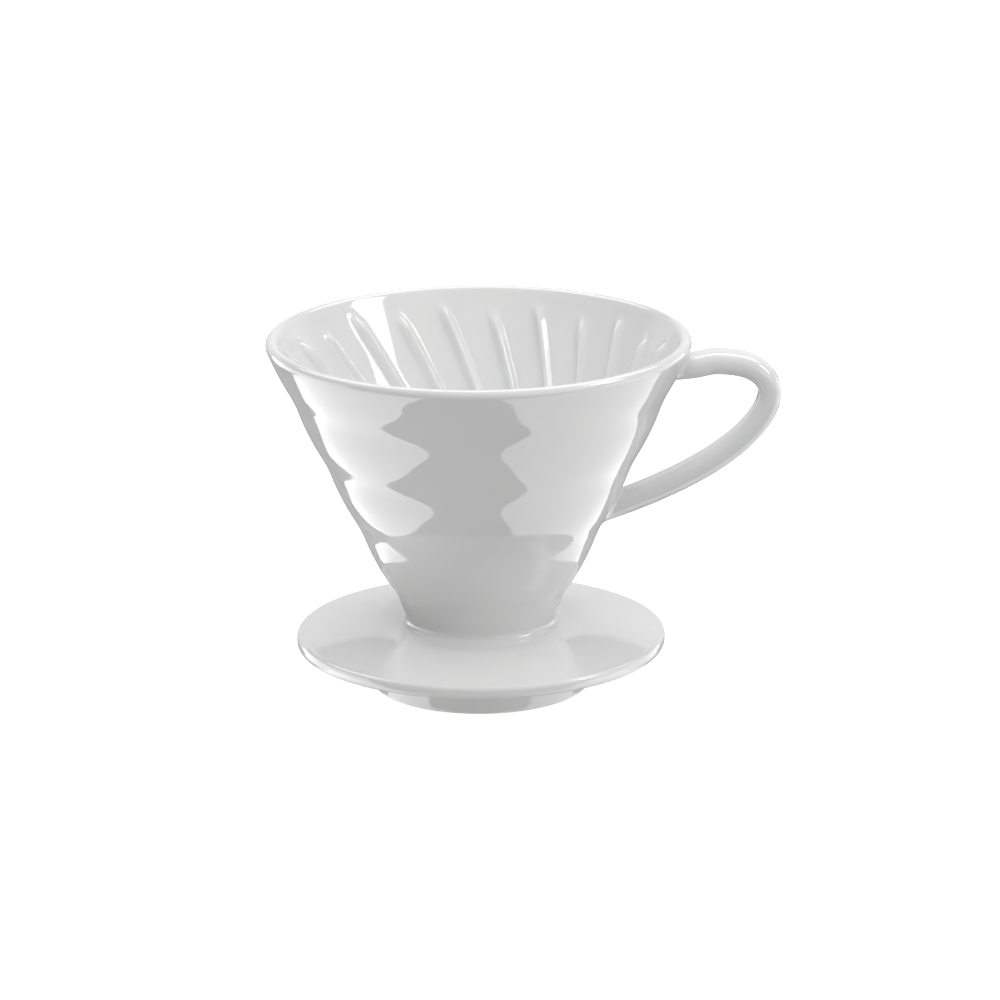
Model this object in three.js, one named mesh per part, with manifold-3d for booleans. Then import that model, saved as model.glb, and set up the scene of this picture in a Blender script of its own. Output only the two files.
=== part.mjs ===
// A glazed porcelain pour over dripper: a ribbed 60 degree funnel on a round base plate with a foot
// ring, and a loop handle. The clay pieces are luted together with beads of slip before firing.
// Millimetres, +Z up. The foot ring stands on z = 0, and the handle points along +X.

import * as THREE from 'three';
import { ParametricGeometry } from 'three/addons/geometries/ParametricGeometry.js';
import { mergeVertices } from 'three/addons/utils/BufferGeometryUtils.js';
import Module from 'manifold-3d';

const { cos, sin, tan, log, PI } = Math;
const { lerp, smoothstep, degToRad } = THREE.MathUtils;

// Driving dimensions: overall.
const HEIGHT = 102;
const RIM_RADIUS = 60;
const HANDLE_REACH = 85.3; // cone axis to the outside of the handle
const JOINT_GAP = 0.3; // between neighbouring clay pieces

// Driving dimensions: the cone's wavy outside, as radius against height.
const BODY_MIDDLE_HEIGHT = 66;
const BODY_MIDDLE_RADIUS = 43.95;
const BODY_SLOPE = 0.48;
const BODY_HALF_HEIGHT = 34;
const BODY_BOW = 0.4;
const WAVE_DEPTH = 0.28;
const WAVE_CREASE = 0.04; // second harmonic: broad crests and tight creases
const WAVE_LENGTH = 19.06;
const WAVE_CREST_HEIGHT = 75.4;
const NECK_HEIGHT = 19.2; // the neck's shoulder, just above the base plate
const NECK_RADIUS = 21.05;
const NECK_SLOPE = 0.38;
const NECK_BLEND = [26, 31]; // heights over which the neck turns into the body
const OUTSIDE_TOP = 97.8; // where the lip begins
const OUTSIDE_RINGS = 16;

// Driving dimensions: the funnel inside, its lip and its drip hole.
const FUNNEL_ANGLE = degToRad(30); // half of the 60 degree cone
const LIP_ROUNDING = 1.75;
const HOLE_RADIUS = 10;
const FUNNEL_RINGS = 10;
const SPIGOT_RADIUS = 15.5; // the neck's end, which passes through the base plate
const SPIGOT_END = 9.6;
const SPIGOT_CHAMFER = 0.8;

// Driving dimensions: the spiral ribs, long and short in turn.
const RIB_COUNT = 24;
const COLUMNS_PER_RIB = 4;
const FIRST_RIB = degToRad(1.875); // clockwise from +Y, seen from above, at the lip
const RIB_SPIRAL = degToRad(38.1); // turn for each e-fold of the funnel's radius
const RIB_HEIGHT = { atHole: 1.1, atLip: 1.7 };
const RIB_HALF_WIDTH = { atHole: 1.4, atLip: 2.6 };
const RIB_TOP = { long: 98.6, short: 96.6 };
const SHORT_RIB_END = 50;
const RIB_RUN_IN = 6; // length over which a rib rises at its top end
const RIB_RUN_OUT = 8; // length over which a short rib dies away
const RIB_HOLE_RUN_OUT = 3; // length over which a long rib dies away above the hole

// Driving dimensions: base plate and foot ring.
const PLATE_RADIUS = 52.7;
const PLATE_TOP = 18.9;
const PLATE_UNDERSIDE = 11.6;
const PLATE_SEAT_RADIUS = 35; // the underside outside this rests on a mug's rim
const PLATE_LAND_RADIUS = 21.4; // flat ring that the neck's shoulder sits on
const PLATE_EDGE_TOP = 15.3;
const PLATE_DOME_RISE = 2; // how steeply the dome leaves the edge
const PLATE_DOME_HANDLES = [0.4, 0.6]; // how far in the dome's curve handles lie, as shares
const PLATE_EDGE_ROUNDING = { below: 1.5, above: 1.4 };
const PLATE_FACETS = 4;
const FOOT_RADIUS = 31.2;
const FOOT_WALL = 4;
const FOOT_DRAFT = 0.6;
const FOOT_ROUNDING = 1;
const FOOT_FACETS = 3;

// Driving dimensions: the handle's section. Its centre line is drawn in handlePath.
const HANDLE_THICKNESS = 6.4;
const HANDLE_WIDTH = 10.6;
const HANDLE_CORNER = { outer: 2.9, inner: 1.4 };
const HANDLE_STEPS = 36;
const HANDLE_CORNER_SEGMENTS = 2;
const ROOT_HALVINGS = 30; // steps of the search for where the handle's skin leaves the cone
const ROOT_SEARCH = 1 / 3; // share of the handle's length that the search covers

// Driving dimensions: slip beads.
const NECK_BEAD = { out: 1.8, up: 1.5 };
const SPOUT_BEAD = { out: 1.8, down: 1 };
const FOOT_BEAD = { out: 1.8, down: 1.8 };
const HANDLE_BEAD_LEG = { outer: 2.6, inner: 1.8 };
const BEAD_FACETS = 2;
const BEAD_SAG = 0.3; // how far the hollow face stays from the corner, as a share of the legs

const COLUMNS = RIB_COUNT * COLUMNS_PER_RIB;
const PLAIN_COLUMNS = 48;
const WELD_DISTANCE = 1e-4;
const AXIS_X = (RIM_RADIUS - HANDLE_REACH) / 2; // centres the whole outline on the origin

const LIP_CENTRE = new THREE.Vector2(RIM_RADIUS - LIP_ROUNDING, HEIGHT - LIP_ROUNDING);
const LIP_ANGLES = [150, 120, 90, 45, 0, -25].map(degToRad); // from the funnel over to the outside
const FUNNEL_TOP_RADIUS = LIP_CENTRE.x - LIP_ROUNDING * cos(FUNNEL_ANGLE);
const FUNNEL_TOP = LIP_CENTRE.y + LIP_ROUNDING * sin(FUNNEL_ANGLE);
const HOLE_TOP = heightInFunnel(HOLE_RADIUS);

const wasm = await Module();
wasm.setup();

// Cone radii.

function heightInFunnel(radius) {
  return FUNNEL_TOP - (FUNNEL_TOP_RADIUS - radius) / tan(FUNNEL_ANGLE);
}

function funnelRadius(z) {
  return Math.max(HOLE_RADIUS, FUNNEL_TOP_RADIUS - (FUNNEL_TOP - z) * tan(FUNNEL_ANGLE));
}

function outerRadius(z) {
  const rise = z - BODY_MIDDLE_HEIGHT;
  const bow = BODY_BOW * (rise / BODY_HALF_HEIGHT) ** 2;
  const turn = (2 * PI * (z - WAVE_CREST_HEIGHT)) / WAVE_LENGTH;
  const wave = WAVE_DEPTH * cos(turn) - WAVE_CREASE * cos(2 * turn);
  const body = BODY_MIDDLE_RADIUS + BODY_SLOPE * rise - bow + wave;
  const neck = NECK_RADIUS + NECK_SLOPE * (z - NECK_HEIGHT);
  return lerp(neck, body, smoothstep(z, ...NECK_BLEND));
}

// Ribs.

function ribTurn(z) {
  return FIRST_RIB + RIB_SPIRAL * log(FUNNEL_TOP_RADIUS / funnelRadius(z));
}

function ribHeight(column, z) {
  const rib = Math.round(column / COLUMNS_PER_RIB);
  const long = rib % 2 === 1;
  const radius = funnelRadius(z);
  const upTheFunnel = (radius - HOLE_RADIUS) / (FUNNEL_TOP_RADIUS - HOLE_RADIUS);
  const halfWidth = lerp(RIB_HALF_WIDTH.atHole, RIB_HALF_WIDTH.atLip, upTheFunnel);
  const aside = (radius * 2 * PI * (column - rib * COLUMNS_PER_RIB)) / COLUMNS;
  const section = Math.abs(aside) < halfWidth ? (1 + cos((PI * aside) / halfWidth)) / 2 : 0;
  const top = long ? RIB_TOP.long : RIB_TOP.short;
  const end = long ? HOLE_TOP : SHORT_RIB_END;
  const runOut = long ? RIB_HOLE_RUN_OUT : RIB_RUN_OUT;
  const ends = smoothstep(top - z, 0, RIB_RUN_IN) * smoothstep(z - end, 0, runOut);
  return lerp(RIB_HEIGHT.atHole, RIB_HEIGHT.atLip, upTheFunnel) * section * ends;
}

function coneProfile() {
  const inside = [new THREE.Vector2(HOLE_RADIUS, SPIGOT_END + SPIGOT_CHAMFER)];
  const spread = funnelRadius(RIB_TOP.long - RIB_RUN_IN) / HOLE_RADIUS;
  for (let i = 0; i < FUNNEL_RINGS; i++) {
    const radius = HOLE_RADIUS * spread ** (i / FUNNEL_RINGS);
    inside.push(new THREE.Vector2(radius, heightInFunnel(radius)));
  }
  for (const share of [1, 0.5, 0]) {
    const z = RIB_TOP.long - RIB_RUN_IN * share;
    inside.push(new THREE.Vector2(funnelRadius(z), z));
  }
  const onLip = (angle) => new THREE.Vector2(cos(angle), sin(angle)).multiplyScalar(LIP_ROUNDING);
  const lip = LIP_ANGLES.map((angle) => onLip(angle).add(LIP_CENTRE));
  const outside = outsideProfile(0).reverse();
  const spigot = [
    new THREE.Vector2(SPIGOT_RADIUS, NECK_HEIGHT),
    new THREE.Vector2(SPIGOT_RADIUS, SPIGOT_END + SPIGOT_CHAMFER),
    new THREE.Vector2(SPIGOT_RADIUS - SPIGOT_CHAMFER, SPIGOT_END),
    new THREE.Vector2(HOLE_RADIUS + SPIGOT_CHAMFER, SPIGOT_END),
  ];
  return { points: [...inside, ...lip, ...outside, ...spigot, inside[0]], insideCount: inside.length };
}

// The cone's wavy outside, from the neck's shoulder up to the lip.
function outsideProfile(grow) {
  const points = [];
  for (let i = 0; i <= OUTSIDE_RINGS; i++) {
    const z = lerp(NECK_HEIGHT, OUTSIDE_TOP, i / OUTSIDE_RINGS);
    points.push(new THREE.Vector2(outerRadius(z) + grow, z));
  }
  return points;
}

// Turns each ring by the ribs' spiral and raises the ribs on the funnel's rings.
function pressRibs(geometry, profile) {
  const { points, insideCount } = profile;
  const position = geometry.attributes.position;
  for (let i = 0; i < position.count; i++) {
    const column = Math.floor(i / points.length);
    const ring = i % points.length;
    const { x: radius, y: z } = points[ring];
    const angle = (2 * PI * column) / COLUMNS + ribTurn(z);
    const raised = ring < insideCount ? ribHeight(column, z) : 0;
    const ribbed = radius - raised * cos(FUNNEL_ANGLE);
    position.setXYZ(i, ribbed * sin(angle), ribbed * cos(angle), z + raised * sin(FUNNEL_ANGLE));
  }
  return geometry;
}

function coneBody() {
  const profile = coneProfile();
  return pressRibs(new THREE.LatheGeometry(profile.points, COLUMNS), profile);
}

// Rings turned about the cone's axis.

function turned(section, facets) {
  const points = section.getPoints(facets);
  return new THREE.LatheGeometry(points, PLAIN_COLUMNS, PI / PLAIN_COLUMNS).rotateX(PI / 2);
}

function basePlate() {
  const { below, above } = PLATE_EDGE_ROUNDING;
  const domeRadius = PLATE_RADIUS - above;
  const [riseHandle, landHandle] = PLATE_DOME_HANDLES.map((t) => lerp(domeRadius, PLATE_LAND_RADIUS, t));
  const section = new THREE.Path();
  section.moveTo(SPIGOT_RADIUS + JOINT_GAP, PLATE_UNDERSIDE);
  section.lineTo(PLATE_SEAT_RADIUS, PLATE_UNDERSIDE);
  section.lineTo(PLATE_RADIUS - below, PLATE_UNDERSIDE);
  section.quadraticCurveTo(PLATE_RADIUS, PLATE_UNDERSIDE, PLATE_RADIUS, PLATE_UNDERSIDE + below);
  section.lineTo(PLATE_RADIUS, PLATE_EDGE_TOP - above);
  section.quadraticCurveTo(PLATE_RADIUS, PLATE_EDGE_TOP, domeRadius, PLATE_EDGE_TOP);
  section.bezierCurveTo(
    riseHandle, PLATE_EDGE_TOP + PLATE_DOME_RISE,
    landHandle, PLATE_TOP,
    PLATE_LAND_RADIUS, PLATE_TOP,
  );
  section.lineTo(SPIGOT_RADIUS + JOINT_GAP, PLATE_TOP);
  section.closePath();
  return turned(section, PLATE_FACETS);
}

function footRing() {
  const top = PLATE_UNDERSIDE - JOINT_GAP;
  const inner = FOOT_RADIUS - FOOT_WALL;
  const section = new THREE.Path();
  section.moveTo(inner + FOOT_ROUNDING, 0);
  section.lineTo(FOOT_RADIUS - FOOT_ROUNDING, 0);
  section.quadraticCurveTo(FOOT_RADIUS, 0, FOOT_RADIUS, FOOT_ROUNDING);
  section.lineTo(FOOT_RADIUS + FOOT_DRAFT, top);
  section.lineTo(inner - FOOT_DRAFT, top);
  section.lineTo(inner, FOOT_ROUNDING);
  section.quadraticCurveTo(inner, 0, inner + FOOT_ROUNDING, 0);
  return turned(section, FOOT_FACETS);
}

// A bead of slip that fills the corner between two pieces, with a hollow outer face.
function ringBead(corner, first, second) {
  const sag = first.clone().add(second).multiplyScalar(0.5).sub(corner).multiplyScalar(BEAD_SAG);
  const section = new THREE.Path();
  section.moveTo(corner.x, corner.y);
  section.lineTo(first.x, first.y);
  section.quadraticCurveTo(corner.x + sag.x, corner.y + sag.y, second.x, second.y);
  section.closePath();
  return turned(section, BEAD_FACETS);
}

function neckBead() {
  const floor = PLATE_TOP + JOINT_GAP;
  const wall = (z) => outerRadius(z) + JOINT_GAP;
  return ringBead(
    new THREE.Vector2(wall(floor), floor),
    new THREE.Vector2(wall(floor) + NECK_BEAD.out, floor),
    new THREE.Vector2(wall(floor + NECK_BEAD.up), floor + NECK_BEAD.up),
  );
}

function beadUnderPlate(wallRadius, { out, down }) {
  const ceiling = PLATE_UNDERSIDE - JOINT_GAP;
  return ringBead(
    new THREE.Vector2(wallRadius, ceiling),
    new THREE.Vector2(wallRadius, ceiling - down),
    new THREE.Vector2(wallRadius + out, ceiling),
  );
}

// Handle.

// The handle's centre line: a level top arm, a tight bend, and a long sweep down to the lower root.
function handlePath() {
  const tipX = HANDLE_REACH - HANDLE_THICKNESS / 2;
  const at = (x, z) => new THREE.Vector3(x, 0, z);
  const path = new THREE.CurvePath();
  path.add(new THREE.CubicBezierCurve3(at(52, 92.5), at(64, 92.9), at(63.3, 94.2), at(67, 94.2)));
  path.add(new THREE.CubicBezierCurve3(at(67, 94.2), at(79.9, 94.2), at(tipX, 88.3), at(tipX, 84.9)));
  path.add(new THREE.CubicBezierCurve3(at(tipX, 84.9), at(tipX, 80.4), at(76.1, 64.8), at(32, 50.2)));
  return path;
}

// The rounded section as points with their outward normals. x is across the handle, and y goes through
// it towards the outside of the loop, where the corners are softer.
function handleSection(grow, segments) {
  const ring = [];
  for (let quarter = 0; quarter < 4; quarter++) {
    const middle = (quarter + 0.5) * (PI / 2);
    const [sideX, sideY] = [Math.sign(cos(middle)), Math.sign(sin(middle))];
    const corner = sideY > 0 ? HANDLE_CORNER.outer : HANDLE_CORNER.inner;
    const centre = new THREE.Vector2(
      sideX * (HANDLE_WIDTH / 2 - corner),
      sideY * (HANDLE_THICKNESS / 2 - corner),
    );
    for (let i = 0; i <= segments; i++) {
      const angle = (quarter + i / segments) * (PI / 2);
      const normal = new THREE.Vector2(cos(angle), sin(angle));
      ring.push({ point: normal.clone().multiplyScalar(corner + grow).add(centre), normal });
    }
  }
  return ring;
}

function asManifold(geometry) {
  const bare = geometry.clone();
  bare.deleteAttribute('normal');
  bare.deleteAttribute('uv');
  const merged = mergeVertices(bare, WELD_DISTANCE);
  return new wasm.Manifold(new wasm.Mesh({
    numProp: 3,
    vertProperties: merged.attributes.position.array,
    triVerts: merged.index.array,
  }));
}

function fromManifold(solid) {
  const mesh = solid.getMesh();
  const geometry = new THREE.BufferGeometry();
  geometry.setAttribute('position', new THREE.BufferAttribute(mesh.vertProperties, 3));
  geometry.setIndex(new THREE.BufferAttribute(mesh.triVerts, 1));
  return geometry;
}

// The cone's outside filled in to its axis and grown by the joint gap, for cutting the handle's roots.
function coneBlank() {
  const wall = outsideProfile(JOINT_GAP);
  const axis = (z) => new THREE.Vector2(0, z);
  const points = [axis(wall[0].y), ...wall, axis(wall.at(-1).y)];
  return new THREE.LatheGeometry(points, COLUMNS).rotateX(PI / 2);
}

function handle() {
  // The extrusion's own frame is half a turn from the section's.
  const section = handleSection(0, HANDLE_CORNER_SEGMENTS).map(({ point }) => point.negate());
  const outline = new THREE.Shape(section);
  const bar = new THREE.ExtrudeGeometry(outline, { steps: HANDLE_STEPS, extrudePath: handlePath() });
  return fromManifold(asManifold(bar).subtract(asManifold(coneBlank())));
}

// A bead round one root of the handle. It is a closed band: u runs round the handle's section, and v
// round the bead's own section, from the root up the handle, over the hollow face and down the cone.
function rootBead(path, rootSide) {
  const ring = handleSection(JOINT_GAP, HANDLE_CORNER_SEGMENTS);
  const clearance = (p) => Math.hypot(p.x, p.y) - outerRadius(p.z) - JOINT_GAP;
  const length = path.getLength();
  const onHandle = ({ point }, along) => {
    const t = rootSide > 0 ? along / length : 1 - along / length;
    const tangent = path.getTangentAt(t);
    const through = new THREE.Vector3(-tangent.z, 0, tangent.x);
    const across = new THREE.Vector3(0, 1, 0);
    return path.getPointAt(t).addScaledVector(across, point.x).addScaledVector(through, point.y);
  };
  const bandSections = ring.map((place) => {
    let [buried, clear] = [0, length * ROOT_SEARCH];
    for (let i = 0; i < ROOT_HALVINGS; i++) {
      const middle = (buried + clear) / 2;
      if (clearance(onHandle(place, middle)) < 0) buried = middle;
      else clear = middle;
    }
    const leg = lerp(HANDLE_BEAD_LEG.inner, HANDLE_BEAD_LEG.outer, (place.normal.y + 1) / 2);
    const root = onHandle(place, clear);
    const upTheHandle = onHandle(place, clear + leg);
    const ahead = onHandle({ point: place.point.clone().add(place.normal) }, clear);
    const away = ahead.sub(root).normalize();
    const onCone = root.clone().addScaledVector(away, leg);
    const flat = outerRadius(onCone.z) + JOINT_GAP;
    const spread = flat / Math.hypot(onCone.x, onCone.y);
    onCone.set(onCone.x * spread, onCone.y * spread, onCone.z);
    const sag = upTheHandle.clone().add(onCone).multiplyScalar(0.5).lerp(root, 1 - BEAD_SAG);
    const face = new THREE.QuadraticBezierCurve3(upTheHandle, sag, onCone).getPoints(BEAD_FACETS);
    return [root, ...face];
  });
  const around = bandSections.length;
  const across = bandSections[0].length;
  return new ParametricGeometry((u, v, target) => {
    const band = bandSections[Math.round(u * around) % around];
    target.copy(band[Math.round((rootSide > 0 ? 1 - v : v) * across) % across]);
  }, around, across);
}

// Assembly.

function porcelain(name, geometry, color, roughness) {
  const material = new THREE.MeshStandardMaterial({ color, roughness, metalness: 0 });
  const mesh = new THREE.Mesh(geometry, material);
  mesh.name = name;
  return mesh;
}

const GLAZE = 0xf3f3f1;
const GLAZE_ROUGHNESS = 0.1;
const path = handlePath();
const underPlateSpigot = SPIGOT_RADIUS + JOINT_GAP;
const underPlateFoot = FOOT_RADIUS + FOOT_DRAFT + JOINT_GAP;

const pieces = {
  cone_body: coneBody(),
  handle: handle(),
  base_plate: basePlate(),
  foot_ring: footRing(),
  neck_slip_bead: neckBead(),
  spout_slip_bead: beadUnderPlate(underPlateSpigot, SPOUT_BEAD),
  foot_slip_bead: beadUnderPlate(underPlateFoot, FOOT_BEAD),
  handle_upper_slip_bead: rootBead(path, 1),
  handle_lower_slip_bead: rootBead(path, -1),
};

const aboutAxis = new THREE.Group();
aboutAxis.position.x = AXIS_X;
for (const [name, geometry] of Object.entries(pieces)) {
  aboutAxis.add(porcelain(name, geometry, GLAZE, GLAZE_ROUGHNESS));
}

const dripper = new THREE.Group();
dripper.add(aboutAxis);

export default dripper;
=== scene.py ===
# Looks for the pour over dripper: glazed white porcelain on a pale floor in a soft studio.
# Lengths are in millimetres until a mesh is made, and MM turns them into metres.

import bpy
from math import atan, cos, degrees, exp, hypot, log, pi, radians, sin, sqrt, tan
from mathutils import Matrix, Vector
from mathutils.geometry import interpolate_bezier


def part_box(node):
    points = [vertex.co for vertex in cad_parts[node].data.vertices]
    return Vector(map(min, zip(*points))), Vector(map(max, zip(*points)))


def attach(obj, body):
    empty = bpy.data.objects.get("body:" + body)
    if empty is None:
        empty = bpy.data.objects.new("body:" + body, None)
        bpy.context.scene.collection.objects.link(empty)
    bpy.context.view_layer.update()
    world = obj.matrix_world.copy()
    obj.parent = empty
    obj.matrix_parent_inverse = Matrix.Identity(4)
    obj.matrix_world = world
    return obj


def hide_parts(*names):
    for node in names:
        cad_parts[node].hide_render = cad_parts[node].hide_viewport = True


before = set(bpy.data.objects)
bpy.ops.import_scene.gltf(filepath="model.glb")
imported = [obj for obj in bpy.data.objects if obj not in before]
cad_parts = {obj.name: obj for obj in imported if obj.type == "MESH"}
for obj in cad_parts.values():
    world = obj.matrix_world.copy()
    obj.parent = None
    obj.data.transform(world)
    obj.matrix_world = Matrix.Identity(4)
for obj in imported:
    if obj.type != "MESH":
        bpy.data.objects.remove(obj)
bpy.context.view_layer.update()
MM = 0.001

# ---------------------------------------------------------------- sizes read from the frame


def cad(node):
    """A CAD node's lowest and highest corners, in millimetres."""
    low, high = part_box(node)
    return low / MM, high / MM


cone_low, cone_high = cad("cone_body")
plate_low, plate_high = cad("base_plate")
foot_low, foot_high = cad("foot_ring")
handle_low, handle_high = cad("handle")

AXIS_X = (foot_low.x + foot_high.x) / 2
FLOOR_Z = foot_low.z
HEIGHT = cone_high.z
RIM_RADIUS = (cone_high.y - cone_low.y) / 2
SPIGOT_END = cone_low.z
PLATE_RADIUS = (plate_high.y - plate_low.y) / 2
PLATE_TOP = plate_high.z
PLATE_UNDERSIDE = plate_low.z
FOOT_TOP_RADIUS = (foot_high.y - foot_low.y) / 2
HANDLE_WIDTH = handle_high.y - handle_low.y
HANDLE_REACH = handle_high.x - AXIS_X

# ---------------------------------------------------------------- shapes that the frame doesn't give

# The cone's outside: radius against height.
BODY_MIDDLE_HEIGHT = 66
BODY_MIDDLE_RADIUS = 43.95
BODY_SLOPE = 0.48
BODY_HALF_HEIGHT = 34
BODY_BOW = 0.4
WAVE_DEPTH = 0.28
WAVE_CREASE = 0.04  # second harmonic: broad crests and tight creases
WAVE_LENGTH = 19.06
WAVE_CREST_HEIGHT = 75.4
NECK_HEIGHT = 19.2
NECK_RADIUS = 21.05
NECK_SLOPE = 0.38
NECK_BLEND = (26, 31)

# The funnel inside.
FUNNEL_ANGLE = radians(30)
LIP_ROUNDING = 1.75
LIP_START = 150  # the lip's rounding starts here, in degrees up from the level
LIP_END = radians(25.6)  # how far the lip's rounding goes down the outside
LIP_EASE = 3  # the height over which the lip settles onto the wavy wall
HOLE_RADIUS = 10
HOLE_EASE = 1.2
SPIGOT_RADIUS = 15.5
SPIGOT_ROUNDING = 1.0

# The spiral ribs, long and short in turn. Pairs of sizes are at the hole and at the lip.
RIB_COUNT = 24
FIRST_RIB = radians(1.875)
RIB_SPIRAL = radians(38.1)
RIB_HEIGHT = (1.3, 2.05)
RIB_HALF_WIDTH = (1.4, 2.6)
RIB_TOP_LONG = 98.6
RIB_TOP_SHORT = 96.6
SHORT_RIB_END = 50
RIB_RUN_IN = 6
RIB_RUN_OUT = 8
RIB_HOLE_RUN_OUT = 3

# Base plate and foot ring.
PLATE_LAND_RADIUS = 21.4
MOAT_RADIUS = 32  # inside it the plate dips a little towards the neck
MOAT_WIDTH = 8
MOAT_DEPTH = 0.4
PLATE_EDGE_TOP = 15.3
PLATE_DOME_RISE = 2
PLATE_DOME_HANDLES = (0.4, 0.6)  # the dome curve's two handles, as shares of its width
PLATE_EDGE_BELOW = 1.5
PLATE_EDGE_ABOVE = 1.4
FOOT_WALL = 4
FOOT_DRAFT = 0.6
FOOT_ROUNDING = 1

# The handle: its centre line as (distance from the axis, height) curves, and its rounded section.
HANDLE_TOP_ROOT = ((52, 92.5), (64, 92.9), (63.3, 94.2), (67, 94.2))
HANDLE_TOP_REACH = 79.9
HANDLE_BEND_START = 88.3
HANDLE_BEND_HEIGHT = 84.9
HANDLE_BEND_END = 80.4
HANDLE_LOWER_ARM = ((76.1, 64.8), (32, 50.2))
HANDLE_THICKNESS = 6.4
HANDLE_OUTER_CORNER = 2.9
HANDLE_INNER_CORNER = 2.8
SECTION_POINTS = 80
SECTION_SOFTENING = 3  # passes of smoothing
HANDLE_BURIED = 0.8

# Fillets of slip.
NECK_BEAD_OUT = 2.0
NECK_BEAD_UP = 1.6
SPOUT_BEAD = 1.0
FOOT_BEAD = 1.8
ROOT_BEAD_INNER = 1.8
ROOT_BEAD_OUTER = 2.6
FILLET_PULL = 0.42  # how far a fillet's curve keeps to each skin, as a share of its span
ROOT_BEAD_PULL = 0.5
ROOT_BEAD_SUNK = 0.8
BURIED_CORNER = radians(40)  # edges sharper than this lie inside the clay

# How finely the meshes are cut.
COLUMNS_PER_RIB = 18
COLUMNS_ON_RIB = 0.68  # share of the columns that lie on the rib itself
WIDEST_RIB = 0.85  # the most of the pitch that those columns may cover
PLAIN_COLUMNS = 256
CONE_RINGS = 84
LIP_RINGS = 14
RING_CROWDING = 1.15  # rings lie closer together towards the hole
PATH_STEPS = 120
CORNER_STEPS = 24
HANDLE_ROWS = 150
BISECTIONS = 40

FUNNEL_TOP_RADIUS = RIM_RADIUS - LIP_ROUNDING - LIP_ROUNDING * cos(FUNNEL_ANGLE)
FUNNEL_TOP = HEIGHT - LIP_ROUNDING + LIP_ROUNDING * sin(FUNNEL_ANGLE)


def lerp(a, b, t):
    return a + (b - a) * t


def smoothstep(x, low, high):
    t = min(max((x - low) / (high - low), 0), 1)
    return t * t * (3 - 2 * t)


def height_in_funnel(radius):
    return FUNNEL_TOP - (FUNNEL_TOP_RADIUS - radius) / tan(FUNNEL_ANGLE)


HOLE_TOP = height_in_funnel(HOLE_RADIUS)


def funnel_radius(z):
    return max(HOLE_RADIUS, FUNNEL_TOP_RADIUS - (FUNNEL_TOP - z) * tan(FUNNEL_ANGLE))


def eased_funnel_radius(z):
    """The funnel and the drip hole as one line, with their corner rounded off."""
    cone = FUNNEL_TOP_RADIUS - (FUNNEL_TOP - z) * tan(FUNNEL_ANGLE)
    return (cone + HOLE_RADIUS + sqrt((cone - HOLE_RADIUS) ** 2 + HOLE_EASE**2)) / 2


def outer_radius(z):
    rise = z - BODY_MIDDLE_HEIGHT
    bow = BODY_BOW * (rise / BODY_HALF_HEIGHT) ** 2
    turn = 2 * pi * (z - WAVE_CREST_HEIGHT) / WAVE_LENGTH
    wave = WAVE_DEPTH * cos(turn) - WAVE_CREASE * cos(2 * turn)
    body = BODY_MIDDLE_RADIUS + BODY_SLOPE * rise - bow + wave
    neck = NECK_RADIUS + NECK_SLOPE * (z - NECK_HEIGHT)
    return lerp(neck, body, smoothstep(z, *NECK_BLEND))


# ---------------------------------------------------------------- mesh making


def mesh_object(name, points, faces):
    """A smooth-shaded object from points about the cone's axis, in millimetres."""
    mesh = bpy.data.meshes.new(name)
    mesh.from_pydata([((p[0] + AXIS_X) * MM, p[1] * MM, p[2] * MM) for p in points], [], faces)
    mesh.validate()
    mesh.shade_smooth()
    mesh.set_sharp_from_angle(angle=BURIED_CORNER)
    obj = bpy.data.objects.new(name, mesh)
    bpy.context.scene.collection.objects.link(obj)
    return obj


def loft(name, rings, closed, flip=False):
    """Skins a list of equal closed rings. The last ring joins the first one, or both ends are capped."""
    count, size = len(rings), len(rings[0])
    points = [p for ring in rings for p in ring]
    faces = []
    for i in range(count if closed else count - 1):
        for j in range(size):
            a, b = i * size + j, i * size + (j + 1) % size
            c, d = (i + 1) % count * size + (j + 1) % size, (i + 1) % count * size + j
            faces.append((a, b, c, d))
    if not closed:
        for ring, start, turned in ((rings[0], 0, True), (rings[-1], (count - 1) * size, False)):
            middle = sum((Vector(p) for p in ring), Vector()) / size
            points.append(middle)
            for j in range(size):
                edge = (start + j, start + (j + 1) % size)
                faces.append((*(reversed(edge) if turned else edge), len(points) - 1))
    if flip:
        faces = [tuple(reversed(f)) for f in faces]
    return mesh_object(name, points, faces)


def arc(centre, radius, start, end, steps):
    """Points of a circular arc in the (radius, height) plane, angles in degrees."""
    angles = [radians(lerp(start, end, i / steps)) for i in range(steps + 1)]
    return [(centre[0] + radius * cos(a), centre[1] + radius * sin(a)) for a in angles]


def bezier(a, b, c, d, steps):
    """Points of a cubic curve in the (radius, height) plane."""
    handles = [Vector((x, y, 0)) for x, y in (a, b, c, d)]
    return [(p.x, p.y) for p in interpolate_bezier(*handles, steps + 1)]


def quadratic(a, b, c, steps):
    first, second = [(lerp(end[0], b[0], 2 / 3), lerp(end[1], b[1], 2 / 3)) for end in (a, c)]
    return bezier(a, first, second, c, steps)


def line(a, b, steps):
    return [(lerp(a[0], b[0], i / steps), lerp(a[1], b[1], i / steps)) for i in range(steps + 1)]


def outline(*stretches):
    """Joins stretches of a closed profile, dropping the points that they share."""
    points = []
    for stretch in stretches:
        points += stretch if not points else stretch[1:]
    first, last = points[0], points[-1]
    shut = hypot(first[0] - last[0], first[1] - last[1]) < 1e-6
    return points[:-1] if shut else points


def turned(name, profile, flip=False):
    """A solid of revolution from a closed profile."""
    angles = [2 * pi * j / PLAIN_COLUMNS for j in range(PLAIN_COLUMNS)]
    rings = [[(r * cos(a), r * sin(a), z) for a in angles] for r, z in profile]
    return loft(name, rings, closed=True, flip=flip)


# ---------------------------------------------------------------- cone body


def rib_turn(z):
    return FIRST_RIB + RIB_SPIRAL * log(FUNNEL_TOP_RADIUS / funnel_radius(z))


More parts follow.
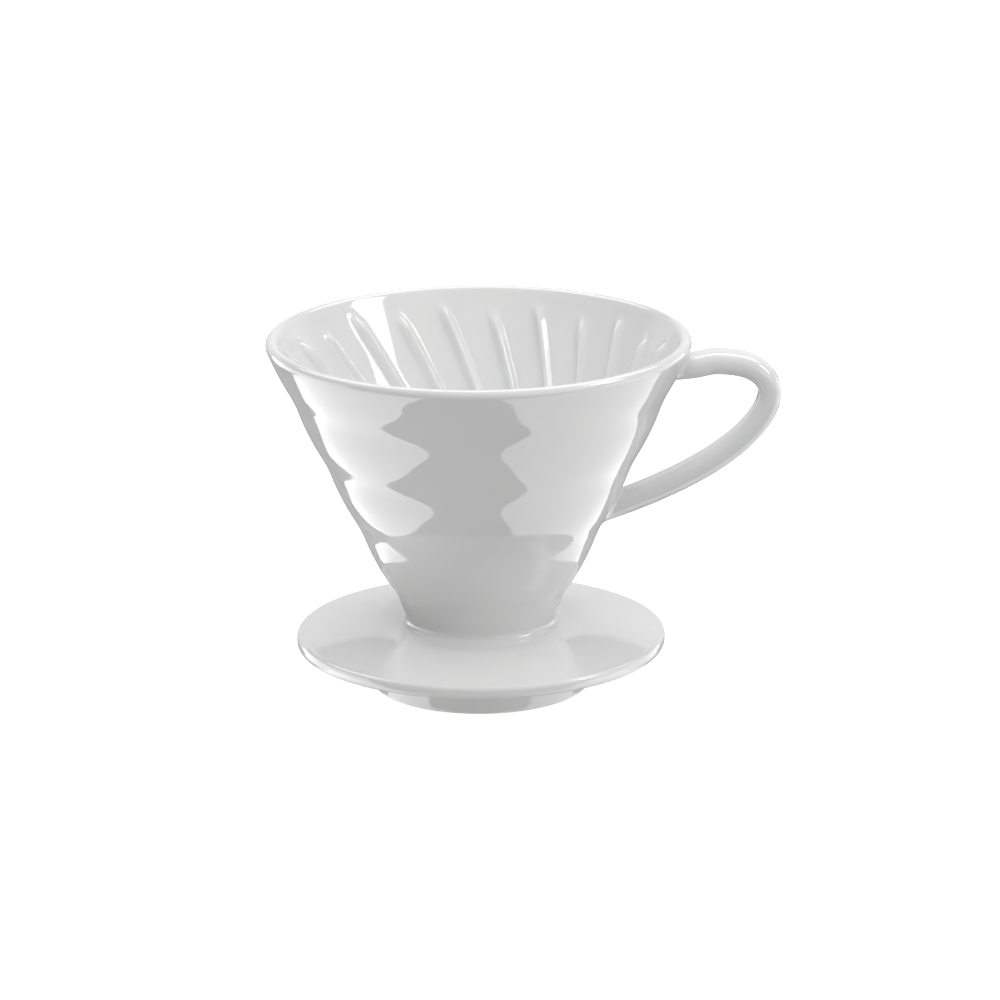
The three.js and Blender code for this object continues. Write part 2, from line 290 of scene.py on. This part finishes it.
def up_the_funnel(z):
    """0 at the drip hole and 1 at the lip."""
    return (funnel_radius(z) - HOLE_RADIUS) / (FUNNEL_TOP_RADIUS - HOLE_RADIUS)


def rib_lift(long, aside, z):
    """How far one rib stands off the funnel at a distance aside from its crest."""
    up = up_the_funnel(z)
    half_width = lerp(*RIB_HALF_WIDTH, up)
    if abs(aside) >= half_width:
        return 0
    section = (1 + cos(pi * aside / half_width)) / 2
    top, end, run_out = RIB_TOP_SHORT, SHORT_RIB_END, RIB_RUN_OUT
    if long:
        top, end, run_out = RIB_TOP_LONG, HOLE_TOP, RIB_HOLE_RUN_OUT
    ends = smoothstep(top - z, 0, RIB_RUN_IN) * smoothstep(z - end, 0, run_out)
    return lerp(*RIB_HEIGHT, up) * section * ends


def column_offsets(z):
    """Angles of one rib's columns from its crest. Most lie on the rib itself."""
    half_pitch = pi / RIB_COUNT
    on_rib = min(lerp(*RIB_HALF_WIDTH, up_the_funnel(z)) / funnel_radius(z), half_pitch * WIDEST_RIB)
    offsets = []
    for i in range(COLUMNS_PER_RIB):
        u = 2 * i / COLUMNS_PER_RIB - 1
        if abs(u) <= COLUMNS_ON_RIB:
            offset = on_rib * abs(u) / COLUMNS_ON_RIB
        else:
            offset = lerp(on_rib, half_pitch, (abs(u) - COLUMNS_ON_RIB) / (1 - COLUMNS_ON_RIB))
        offsets.append(offset if u > 0 else -offset)
    return offsets


def cone_ring(radius, z, inside):
    """One ring of the cone, its columns turning with the ribs. Inside, the ribs stand off it."""
    ring = []
    pitch = 2 * pi / RIB_COUNT
    offsets = column_offsets(z)
    for rib in range(RIB_COUNT):
        for offset in offsets:
            angle = rib * pitch + offset + rib_turn(z)
            raised = 0
            if inside:
                raised = max(
                    rib_lift((rib + side) % 2 == 1, radius * (offset - side * pitch), z)
                    for side in (-1, 0, 1)
                )
            r = radius - raised * cos(FUNNEL_ANGLE)
            ring.append((r * sin(angle), r * cos(angle), z + raised * sin(FUNNEL_ANGLE)))
    return ring


def cone_body():
    """One closed band: up the inside, over the lip, down the outside, and round the spigot."""
    rings = []
    low = SPIGOT_END + SPIGOT_ROUNDING
    for i in range(CONE_RINGS):
        z = lerp(low, FUNNEL_TOP, (i / CONE_RINGS) ** RING_CROWDING)
        rings.append(cone_ring(eased_funnel_radius(z), z, inside=True))
    centre = (RIM_RADIUS - LIP_ROUNDING, HEIGHT - LIP_ROUNDING)
    for r, z in arc(centre, LIP_ROUNDING, LIP_START, -degrees(LIP_END), LIP_RINGS):
        rings.append(cone_ring(r, z, inside=False))
    top = HEIGHT - LIP_ROUNDING - LIP_ROUNDING * sin(LIP_END)
    lip_edge = centre[0] + LIP_ROUNDING * cos(LIP_END)
    for i in range(1, CONE_RINGS):
        z = lerp(top, NECK_HEIGHT, i / CONE_RINGS)
        ease = (lip_edge - outer_radius(top)) * exp(-(((top - z) / LIP_EASE) ** 2))
        rings.append(cone_ring(outer_radius(z) + ease, z, inside=False))
    outer_corner = SPIGOT_RADIUS - SPIGOT_ROUNDING
    inner_corner = HOLE_RADIUS + SPIGOT_ROUNDING
    spigot = outline(
        line((outer_radius(NECK_HEIGHT), NECK_HEIGHT), (SPIGOT_RADIUS, NECK_HEIGHT), 3),
        line((SPIGOT_RADIUS, NECK_HEIGHT), (SPIGOT_RADIUS, low), 4),
        arc((outer_corner, low), SPIGOT_ROUNDING, 0, -90, 5),
        line((outer_corner, SPIGOT_END), (inner_corner, SPIGOT_END), 3),
        arc((inner_corner, low), SPIGOT_ROUNDING, 270, 190, 5),
    )
    for r, z in spigot:
        rings.append(cone_ring(r, z, inside=False))
    return loft("cone_body_glazed", rings, closed=True)


# ---------------------------------------------------------------- base plate, foot ring and their beads


def moat(radius):
    """How far the plate's top dips at a radius."""
    return MOAT_DEPTH * smoothstep(MOAT_RADIUS - radius, 0, MOAT_WIDTH)


def plate_profile():
    dome_radius = PLATE_RADIUS - PLATE_EDGE_ABOVE
    under = (PLATE_RADIUS - PLATE_EDGE_BELOW, PLATE_UNDERSIDE)
    low = (PLATE_RADIUS, PLATE_UNDERSIDE + PLATE_EDGE_BELOW)
    high = (PLATE_RADIUS, PLATE_EDGE_TOP - PLATE_EDGE_ABOVE)
    shoulder = (dome_radius, PLATE_EDGE_TOP)
    land = (PLATE_LAND_RADIUS, PLATE_TOP)
    rise_radius, settle_radius = [lerp(dome_radius, PLATE_LAND_RADIUS, t) for t in PLATE_DOME_HANDLES]
    rise = (rise_radius, PLATE_EDGE_TOP + PLATE_DOME_RISE)
    settle = (settle_radius, PLATE_TOP)
    floor = PLATE_TOP - MOAT_DEPTH
    return outline(
        line((SPIGOT_RADIUS, PLATE_UNDERSIDE), under, 12),
        quadratic(under, (PLATE_RADIUS, PLATE_UNDERSIDE), low, 10),
        line(low, high, 4),
        quadratic(high, (PLATE_RADIUS, PLATE_EDGE_TOP), shoulder, 10),
        [(r, z - moat(r)) for r, z in bezier(shoulder, rise, settle, land, 60)],
        line((PLATE_LAND_RADIUS, floor), (SPIGOT_RADIUS, floor), 4),
        line((SPIGOT_RADIUS, floor), (SPIGOT_RADIUS, PLATE_UNDERSIDE), 4),
    )


def foot_profile():
    bottom_radius = FOOT_TOP_RADIUS - FOOT_DRAFT
    inner = bottom_radius - FOOT_WALL
    top = PLATE_UNDERSIDE
    base = FLOOR_Z + FOOT_ROUNDING
    return outline(
        line((inner + FOOT_ROUNDING, FLOOR_Z), (bottom_radius - FOOT_ROUNDING, FLOOR_Z), 4),
        arc((bottom_radius - FOOT_ROUNDING, base), FOOT_ROUNDING, -90, 0, 6),
        line((bottom_radius, base), (FOOT_TOP_RADIUS, top), 8),
        line((FOOT_TOP_RADIUS, top), (inner - FOOT_DRAFT, top), 3),
        line((inner - FOOT_DRAFT, top), (inner, base), 8),
        arc((inner + FOOT_ROUNDING, base), FOOT_ROUNDING, 180, 270, 6),
    )


def fillet_profile(first, first_direction, second, second_direction, sunk):
    """A fillet that leaves both skins along their tangents, closed by a buried corner."""
    pull = FILLET_PULL * hypot(first[0] - second[0], first[1] - second[1])
    a = (first[0] + first_direction[0] * pull, first[1] + first_direction[1] * pull)
    b = (second[0] + second_direction[0] * pull, second[1] + second_direction[1] * pull)
    face = bezier(first, a, b, second, 14)
    return outline(face, line(second, sunk, 2), line(sunk, first, 2))


def dome_height(radius):
    """The height of the plate's domed top at a radius."""
    near = 0.01
    dome = [(r, z) for r, z in plate_profile() if z > PLATE_EDGE_TOP - near and r >= PLATE_LAND_RADIUS - near]
    for (r0, z0), (r1, z1) in zip(dome, dome[1:]):
        if r1 <= radius <= r0:
            return lerp(z0, z1, (r0 - radius) / (r0 - r1))
    return PLATE_TOP - MOAT_DEPTH


def unit(dx, dy):
    length = hypot(dx, dy)
    return (dx / length, dy / length)


def neck_bead():
    foot_radius = outer_radius(NECK_HEIGHT) + NECK_BEAD_OUT
    top_z = NECK_HEIGHT + NECK_BEAD_UP
    first = (foot_radius, dome_height(foot_radius))
    second = (outer_radius(top_z), top_z)
    step = 0.5
    inward = unit(-1, (dome_height(foot_radius - step) - dome_height(foot_radius)) / step)
    downward = unit(outer_radius(top_z - step) - outer_radius(top_z), -step)
    buried = 1
    sunk = (outer_radius(NECK_HEIGHT) - buried, PLATE_TOP - buried)
    return turned("neck_slip_fillet", fillet_profile(first, inward, second, downward, sunk))


def bead_under_plate(name, wall_radius, leg, wall_slope):
    """The fillet between the plate's underside and a wall that hangs from it."""
    first = (wall_radius + leg, PLATE_UNDERSIDE)
    second = (wall_radius - wall_slope * leg, PLATE_UNDERSIDE - leg)
    buried = 0.6
    sunk = (wall_radius - buried, PLATE_UNDERSIDE + buried)
    return turned(name, fillet_profile(first, (-1, 0), second, unit(wall_slope, 1), sunk), flip=True)


# ---------------------------------------------------------------- handle and its root beads


def handle_path():
    """The handle's centre line as closely spaced points in the plane through the axis."""
    tip = HANDLE_REACH - HANDLE_THICKNESS / 2
    crown = HANDLE_TOP_ROOT[-1]
    bend = (tip, HANDLE_BEND_HEIGHT)
    curves = (
        HANDLE_TOP_ROOT,
        (crown, (HANDLE_TOP_REACH, crown[1]), (tip, HANDLE_BEND_START), bend),
        (bend, (tip, HANDLE_BEND_END), *HANDLE_LOWER_ARM),
    )
    points = []
    for curve in curves:
        stretch = [Vector((x, 0, z)) for x, z in bezier(*curve, PATH_STEPS)]
        points += stretch if not points else stretch[1:]
    return points


PATH = handle_path()
LENGTHS = [0.0]
for before, after in zip(PATH, PATH[1:]):
    LENGTHS.append(LENGTHS[-1] + (after - before).length)
PATH_LENGTH = LENGTHS[-1]


def along_path(distance):
    """The point and the direction of the centre line at a distance from its upper end."""
    low, high = 0, len(LENGTHS) - 1
    while high - low > 1:
        middle = (low + high) // 2
        low, high = (middle, high) if LENGTHS[middle] <= distance else (low, middle)
    t = (distance - LENGTHS[low]) / (LENGTHS[high] - LENGTHS[low])
    before, after = max(low - 1, 0), min(high + 1, len(PATH) - 1)
    here = (PATH[high] - PATH[before]).normalized()
    there = (PATH[after] - PATH[low]).normalized()
    return PATH[low].lerp(PATH[high], t), here.lerp(there, t).normalized()


def handle_section():
    """The section's points and outward normals: x is across the handle, y through it, outwards."""
    ring = []
    for quarter, (sx, sy) in enumerate(((1, 1), (-1, 1), (-1, -1), (1, -1))):
        corner = HANDLE_OUTER_CORNER if sy > 0 else HANDLE_INNER_CORNER
        middle = Vector((sx * (HANDLE_WIDTH / 2 - corner), sy * (HANDLE_THICKNESS / 2 - corner)))
        for i in range(CORNER_STEPS + 1):
            angle = (quarter + i / CORNER_STEPS) * pi / 2
            ring.append(middle + corner * Vector((cos(angle), sin(angle))))
    ring = evenly_spaced(ring, SECTION_POINTS)
    for _ in range(SECTION_SOFTENING):
        ring = [(ring[i - 1] + 2 * p + ring[(i + 1) % len(ring)]) / 4 for i, p in enumerate(ring)]
    wide = HANDLE_WIDTH / 2 / max(p.x for p in ring)
    thick = HANDLE_THICKNESS / 2 / max(p.y for p in ring)
    ring = [Vector((p.x * wide, p.y * thick)) for p in ring]
    along = [ring[(i + 1) % len(ring)] - ring[i - 1] for i in range(len(ring))]
    return [(p, Vector((t.y, -t.x)).normalized()) for p, t in zip(ring, along)]


def evenly_spaced(ring, count):
    """Points at equal distances round a closed polygon."""
    closed = [*ring, ring[0]]
    total = sum((b - a).length for a, b in zip(closed, closed[1:]))
    points, walked, edge = [], 0.0, 0
    for i in range(count):
        target = total * i / count
        while walked + (closed[edge + 1] - closed[edge]).length < target:
            walked += (closed[edge + 1] - closed[edge]).length
            edge += 1
        step = closed[edge + 1] - closed[edge]
        points.append(closed[edge] + step * ((target - walked) / max(step.length, 1e-9)))
    return points


def on_handle(place, distance):
    """A place of the handle's section, at a distance along the centre line."""
    centre, direction = along_path(distance)
    through = Vector((-direction.z, 0, direction.x))
    return centre + Vector((0, place.x, 0)) + through * place.y


def skin_radius(z):
    """The cone's outside, with the rounding of the lip above it."""
    over = z - (HEIGHT - LIP_ROUNDING)
    if over < -LIP_ROUNDING * sin(LIP_END):
        return outer_radius(z)
    return RIM_RADIUS - LIP_ROUNDING + sqrt(max(LIP_ROUNDING**2 - over**2, 0))


def on_cone(p):
    """The point of the cone's outside at p's height and bearing."""
    spread = skin_radius(p.z) / hypot(p.x, p.y)
    return Vector((p.x * spread, p.y * spread, p.z))


def cone_normal(p):
    step = 0.1
    slope = (skin_radius(p.z + step) - skin_radius(p.z - step)) / (2 * step)
    bearing = hypot(p.x, p.y)
    return Vector((p.x / bearing, p.y / bearing, -slope)).normalized()


def root_distance(place, lower):
    """How far along the path the handle's skin leaves the cone, at one place of its section."""
    buried, clear = (PATH_LENGTH, PATH_LENGTH * 2 / 3) if lower else (0, PATH_LENGTH / 3)
    for _ in range(BISECTIONS):
        middle = (buried + clear) / 2
        p = on_handle(place, middle)
        if hypot(p.x, p.y) < skin_radius(p.z):
            buried = middle
        else:
            clear = middle
    return clear


SECTION = handle_section()
ROOTS = {lower: [root_distance(place, lower) for place, _ in SECTION] for lower in (False, True)}


def handle():
    rings = []
    for i in range(HANDLE_ROWS + 1):
        ring = []
        for (place, _), upper, lower in zip(SECTION, ROOTS[False], ROOTS[True]):
            start, end = upper - HANDLE_BURIED, lower + HANDLE_BURIED
            ring.append(on_handle(place, lerp(start, end, i / HANDLE_ROWS)))
        rings.append(ring)
    return loft("handle_glazed", rings, closed=False)


def root_bead(name, lower):
    """The fillet round one root of the handle, as a closed band."""
    outward = -1 if lower else 1
    steps = 12
    step_back = 0.3
    bands = []
    for (place, normal), root_at in zip(SECTION, ROOTS[lower]):
        leg = lerp(ROOT_BEAD_INNER, ROOT_BEAD_OUTER, (normal.y + 1) / 2)
        root = on_handle(place, root_at)
        start = on_handle(place, root_at + outward * leg)
        start_direction = (on_handle(place, root_at + outward * (leg - step_back)) - start).normalized()
        away = (on_handle(place + normal, root_at) - root).normalized()
        skin = cone_normal(root)
        away = (away - skin * away.dot(skin)).normalized()
        end = on_cone(root + away * leg)
        end_normal = cone_normal(end)
        back = root - end
        end_direction = (back - end_normal * back.dot(end_normal)).normalized()
        pull = ROOT_BEAD_PULL * (start - end).length
        face = interpolate_bezier(
            start, start + start_direction * pull, end + end_direction * pull, end, steps + 1)
        centre, _ = along_path(root_at)
        sunk = root - skin * ROOT_BEAD_SUNK + (centre - root).normalized() * ROOT_BEAD_SUNK
        bands.append([*face, sunk])
    rings = [[band[i] for band in bands] for i in range(len(bands[0]))]
    return loft(name, rings, closed=True, flip=lower)


# ---------------------------------------------------------------- porcelain


class Nodes:
    """A short way to write a node tree."""

    def __init__(self, owner, shader="Principled BSDF"):
        owner.use_nodes = True
        self.tree = owner.node_tree
        self.shader = self.tree.nodes[shader]

    def add(self, kind, inputs=(), **settings):
        node = self.tree.nodes.new(kind)
        for key, value in settings.items():
            setattr(node, key, value)
        for key, value in dict(inputs).items():
            self.feed(node.inputs[key], value)
        return node

    def feed(self, socket, value):
        if isinstance(value, bpy.types.NodeSocket):
            self.tree.links.new(value, socket)
        else:
            socket.default_value = value

    def noise(self, place, scale, detail, roughness):
        inputs = {"Vector": place, "Scale": scale, "Detail": detail, "Roughness": roughness}
        return self.add("ShaderNodeTexNoise", inputs).outputs["Fac"]

    def times(self, a, b):
        return self.add("ShaderNodeMath", {0: a, 1: b}, operation="MULTIPLY").outputs[0]

    def spread(self, value, low, high, to_low=0.0, to_high=1.0):
        """Maps low..high of a value onto another span."""
        inputs = {"Value": value, "From Min": low, "From Max": high, "To Min": to_low, "To Max": to_high}
        return self.add("ShaderNodeMapRange", inputs).outputs["Result"]

    def ramp(self, value, stops, interpolation="LINEAR"):
        """A ramp of greys, from pairs of position and brightness."""
        node = self.add("ShaderNodeValToRGB", {"Fac": value})
        node.color_ramp.interpolation = interpolation
        elements = node.color_ramp.elements
        while len(elements) < len(stops):
            elements.new(0.5)
        for element, (position, shade) in zip(elements, stops):
            element.position = position
            element.color = (shade, shade, shade, 1)
        return node.outputs["Color"]

    def mix(self, factor, a, b):
        """Mixes two colours."""
        node = self.add("ShaderNodeMix", data_type="RGBA")
        for key, value in ((0, factor), (6, a), (7, b)):
            self.feed(node.inputs[key], value)
        return node.outputs[2]

    def blend(self, factor, a, b):
        """Mixes two plain values."""
        return self.add("ShaderNodeMix", {"Factor": factor, "A": a, "B": b}, data_type="FLOAT").outputs[0]


BODY_WHITE = (0.82, 0.82, 0.815, 1)
BODY_CLOUD = (0.80, 0.802, 0.803, 1)
POOLED_GLAZE = (0.74, 0.755, 0.76, 1)
POOLED_AMOUNT = 0.35
PINHOLE = (0.30, 0.28, 0.26, 1)
PINHOLE_AMOUNT = 0.55
GLAZE_ROUGHNESS = (0.035, 0.075)
GLAZE_IOR = 1.52
RIPPLE_DEPTH = 0.12 * MM
PEEL_DEPTH = 0.006 * MM
BARE_CLAY = ((0.70, 0.67, 0.62, 1), (0.80, 0.775, 0.73, 1))
BARE_ROUGHNESS = 0.75
BARE_BELOW = 0.7 * MM  # the foot's clay is bare up to here, less the wobble of the glaze's edge
GLAZED_ABOVE = 0.9 * MM
GLAZE_EDGE_WOBBLE = 0.6 * MM
GRIT_DEPTH = 0.04 * MM
PINHOLE_SCALE = 62

# Noises: scale, detail and roughness.
CLOUD = (38, 3, 0.55)
GLOSS = (120, 4, 0.6)
RIPPLE = (75, 2, 0.5)
PEEL = (650, 1, 0.5)
GLAZE_EDGE = (160, 3, 0.5)
GRIT = (1800, 4, 0.7)
FLOOR_GRAIN = (14, 3, 0.5)


def porcelain(name, bare_rim=False):
    """White porcelain under a clear gloss glaze: soft clouding, pooled glaze, rare pinholes."""
    material = bpy.data.materials.new(name)
    n = Nodes(material)
    place = n.add("ShaderNodeTexCoord").outputs["Object"]

    cloud = n.ramp(n.noise(place, *CLOUD), ((0.35, 0), (0.65, 1)))
    body = n.mix(cloud, BODY_WHITE, BODY_CLOUD)

    corners = n.add("ShaderNodeNewGeometry").outputs["Pointiness"]
    pooled = n.ramp(corners, ((0.44, 1), (0.50, 0)))
    body = n.mix(n.times(pooled, POOLED_AMOUNT), body, POOLED_GLAZE)

    cells = n.add("ShaderNodeTexVoronoi", {"Vector": place, "Scale": PINHOLE_SCALE, "Randomness": 1.0})
    dot = n.ramp(cells.outputs["Distance"], ((0.010, 1), (0.018, 0)))
    lot = n.add("ShaderNodeSeparateColor", {"Color": cells.outputs["Color"]}).outputs["Red"]
    rare = n.ramp(lot, ((0.90, 0), (0.91, 1)), "CONSTANT")
    body = n.mix(n.times(n.times(dot, rare), PINHOLE_AMOUNT), body, PINHOLE)

    rough = n.spread(n.noise(place, *GLOSS), 0, 1, *GLAZE_ROUGHNESS)

    normal = None
    for waves, depth in ((RIPPLE, RIPPLE_DEPTH), (PEEL, PEEL_DEPTH)):
        height = n.noise(place, *waves)
        bump = n.add("ShaderNodeBump", {"Height": height, "Distance": depth, "Strength": 0.5})
        if normal:
            n.feed(bump.inputs["Normal"], normal)
        normal = bump.outputs["Normal"]

    if bare_rim:
        height = n.add("ShaderNodeSeparateXYZ", {"Vector": place}).outputs["Z"]
        edge = n.add("ShaderNodeMath", {0: n.noise(place, *GLAZE_EDGE), 1: GLAZE_EDGE_WOBBLE, 2: height},
                     operation="MULTIPLY_ADD").outputs[0]
        bare = n.spread(edge, GLAZED_ABOVE, BARE_BELOW)
        grit = n.noise(place, *GRIT)
        body = n.mix(bare, body, n.mix(grit, *BARE_CLAY))
        rough = n.blend(bare, rough, BARE_ROUGHNESS)
        gritty = {"Height": grit, "Distance": GRIT_DEPTH, "Strength": bare, "Normal": normal}
        normal = n.add("ShaderNodeBump", gritty).outputs["Normal"]

    for socket, value in {"Base Color": body, "Roughness": rough, "Normal": normal, "IOR": GLAZE_IOR}.items():
        n.feed(n.shader.inputs[socket], value)
    return material


GLAZE = porcelain("glazed_porcelain")
FOOT_GLAZE = porcelain("foot_porcelain", bare_rim=True)


def place_piece(piece, node, material=GLAZE):
    piece.data.materials.append(material)
    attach(piece, "root")
    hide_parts(node)


def build_dripper():
    place_piece(cone_body(), "cone_body")
    place_piece(handle(), "handle")
    place_piece(turned("base_plate_glazed", plate_profile()), "base_plate")
    place_piece(turned("foot_ring_glazed", foot_profile()), "foot_ring", FOOT_GLAZE)
    place_piece(neck_bead(), "neck_slip_bead")
    place_piece(bead_under_plate("spout_slip_fillet", SPIGOT_RADIUS, SPOUT_BEAD, 0), "spout_slip_bead")
    foot_slope = FOOT_DRAFT / (PLATE_UNDERSIDE - FLOOR_Z)
    foot_fillet = bead_under_plate("foot_slip_fillet", FOOT_TOP_RADIUS, FOOT_BEAD, foot_slope)
    place_piece(foot_fillet, "foot_slip_bead")
    place_piece(root_bead("handle_upper_slip_fillet", lower=False), "handle_upper_slip_bead")
    place_piece(root_bead("handle_lower_slip_fillet", lower=True), "handle_lower_slip_bead")


build_dripper()

# ---------------------------------------------------------------- floor, studio and camera


# Distances in the studio are in metres about the dripper's axis.
FLOOR_HALF = 4.0
FLOOR_GREYS = ((0.60, 0.60, 0.60, 1), (0.62, 0.62, 0.62, 1))
FLOOR_GLOW = 0.75
POWER_PER_RADIANCE = 3.2
LIT_POINT = (0, 0, 0.06)

# Soft boxes: where each is, its width and height, its brightness, and whether it shows in the glaze
# (True) or only lights the clay (False).
SOFT_BOXES = {
    "key_softbox": ((0.95, -0.17, 0.80), 0.36, 0.44, 9, True),
    "front_top_fill": ((0, -1.0, 1.5), 1.0, 1.0, 1.7, False),
    "left_wall": ((-1.55, 0.45, -0.12), 2.3, 1.0, 3.0, True),
    "right_wall": ((1.55, 0.45, -0.12), 2.3, 1.0, 1.8, True),
    "right_front_softbox": ((1.2, -1.3, 0.50), 1.3, 0.45, 2.2, True),
    "overhead_back": ((0, 0.75, 1.5), 2.4, 1.2, 3.2, True),
}

# Big panels facing up far below the table, one on each side. The inner edge of each passes the axis
# at a distance and splays away from the viewer. Then come the near and far ends, the width, the
# brightness, and the same choice as above.
PANEL_HEIGHT = -1.0
LEFT_EDGE = (-1, 0.690, 0.228)
RIGHT_EDGE = (1, 0.449, 0.281)
PANELS = {
    "left_panel_below": (*LEFT_EDGE, -0.9, 1.45, 2.4, 3.2, True),
    "right_panel_below": (*RIGHT_EDGE, -0.9, 1.45, 3.4, 2.3, True),
    "left_glow_below": (*LEFT_EDGE, -0.1, 1.6, 2.4, 4.6, False),
    "right_glow_below": (*RIGHT_EDGE, -0.1, 1.6, 3.4, 0.3, False),
}

# The room's own light on the clay, from low down on each side and from overhead.
ROOM_LOW_LEFT = 0.12
ROOM_LOW_RIGHT = 0.72
ROOM_LOW_SPAN = (-0.8, 0.6)
ROOM_ABOVE = 1.2
ROOM_ABOVE_SPAN = (0.2, 0.9)
ROOM_LEAN = radians(10)

# What the glaze mirrors of the room: dark, but for a backdrop behind the dripper. The backdrop's
# brightness goes by height, from 0 straight down to 1 straight up.
ROOM_IN_GLAZE = 0.08
BACKDROP = 0.85
BACKDROP_DIMMER = 0.85 * BACKDROP
BACKDROP_SPAN = (0.45, 0.65)
BACKDROP_STEPS = (
    (0.40, 0.35),
    (0.45, BACKDROP),
    (0.66, BACKDROP),
    (0.667, BACKDROP_DIMMER),
    (0.695, BACKDROP_DIMMER),
    (0.705, ROOM_IN_GLAZE),
)

# The camera, in millimetres and degrees.
CAMERA_PLACE = (5.72, -1362.3, 456.8)
CAMERA_DIP = 16.48
CAMERA_ROLL = -0.41
CAMERA_LENS = 180
CAMERA_SENSOR = 36


def studio_floor():
    """A white table that the glaze doesn't mirror: the panels below it show in the glaze instead."""
    mesh = bpy.data.meshes.new("studio_floor")
    corners = [(-1, -1), (1, -1), (1, 1), (-1, 1)]
    mesh.from_pydata([(x * FLOOR_HALF, y * FLOOR_HALF, FLOOR_Z * MM) for x, y in corners], [], [(0, 1, 2, 3)])
    floor = bpy.data.objects.new("studio_floor", mesh)
    bpy.context.scene.collection.objects.link(floor)
    floor.visible_glossy = False
    floor.visible_shadow = False
    floor.visible_diffuse = False
    material = bpy.data.materials.new("pale_floor")
    n = Nodes(material)
    grain = n.noise(n.add("ShaderNodeTexCoord").outputs["Object"], *FLOOR_GRAIN)
    looks = {
        "Base Color": n.mix(grain, *FLOOR_GREYS),
        "Roughness": 0.9,
        "Specular IOR Level": 0.1,
        "Emission Color": (1, 1, 1, 1),
        "Emission Strength": FLOOR_GLOW,
    }
    for socket, value in looks.items():
        n.feed(n.shader.inputs[socket], value)
    mesh.materials.append(material)


def area_light(name, at, turn, width, height, radiance, in_glaze):
    """A rectangle of light that the camera doesn't see."""
    light = bpy.data.lights.new(name, "AREA")
    light.shape = "RECTANGLE"
    light.size, light.size_y = width, height
    light.energy = radiance * width * height * POWER_PER_RADIANCE
    box = bpy.data.objects.new(name, light)
    box.location = Vector((AXIS_X * MM, 0, 0)) + Vector(at)
    box.rotation_euler = turn
    box.visible_camera = False
    box.visible_glossy = in_glaze
    box.visible_diffuse = not in_glaze
    bpy.context.scene.collection.objects.link(box)


def lights():
    for name, (side, edge, splay, near, far, width, radiance, in_glaze) in PANELS.items():
        angle = -side * atan(splay)
        across, along = Vector((cos(angle), sin(angle))), Vector((-sin(angle), cos(angle)))
        centre = Vector((side * edge, 0)) + across * side * width / 2 + along * (near + far) / 2
        at = (centre.x, centre.y, PANEL_HEIGHT)
        area_light(name, at, (pi, 0, angle), width, far - near, radiance, in_glaze)
    for name, (at, width, height, radiance, in_glaze) in SOFT_BOXES.items():
        turn = (Vector(LIT_POINT) - Vector(at)).to_track_quat("-Z", "Y").to_euler()
        area_light(name, at, turn, width, height, radiance, in_glaze)


def room():
    """The world: one brightness for the camera, one for the glaze and one for the clay under it."""
    world = bpy.data.worlds.new("studio_world")
    bpy.context.scene.world = world
    n = Nodes(world, "Background")
    direction = n.add("ShaderNodeTexCoord").outputs["Generated"]
    heading = n.add("ShaderNodeSeparateXYZ", {"Vector": direction}).outputs
    lean = {0: direction, 1: (0, sin(ROOM_LEAN), cos(ROOM_LEAN))}
    overhead = n.add("ShaderNodeVectorMath", lean, operation="DOT_PRODUCT").outputs["Value"]
    low_light = n.spread(heading["X"], *ROOM_LOW_SPAN, ROOM_LOW_LEFT, ROOM_LOW_RIGHT)
    on_clay = n.spread(overhead, *ROOM_ABOVE_SPAN, low_light, ROOM_ABOVE)
    backdrop = n.ramp(n.spread(heading["Z"], -1, 1), BACKDROP_STEPS)
    in_glaze = n.blend(n.spread(heading["Y"], *BACKDROP_SPAN), ROOM_IN_GLAZE, backdrop)
    ray = n.add("ShaderNodeLightPath").outputs
    unseen = n.blend(ray["Is Glossy Ray"], on_clay, in_glaze)
    n.feed(n.shader.inputs["Color"], (1, 1, 1, 1))
    n.feed(n.shader.inputs["Strength"], n.blend(ray["Is Camera Ray"], unseen, 1.0))


def camera():
    lens = bpy.data.cameras.new("camera")
    lens.sensor_width = CAMERA_SENSOR
    lens.lens = CAMERA_LENS
    lens.clip_end = 20
    view = bpy.data.objects.new("camera", lens)
    aside, back, up = CAMERA_PLACE
    view.location = Vector((AXIS_X + aside, back, up)) * MM
    dip, roll = radians(90 - CAMERA_DIP), radians(CAMERA_ROLL)
    view.rotation_euler = (Matrix.Rotation(dip, 3, "X") @ Matrix.Rotation(roll, 3, "Z")).to_euler()
    bpy.context.scene.collection.objects.link(view)
    bpy.context.scene.camera = view


studio_floor()
lights()
room()
camera()
bpy.context.scene.view_settings.view_transform = "Standard"
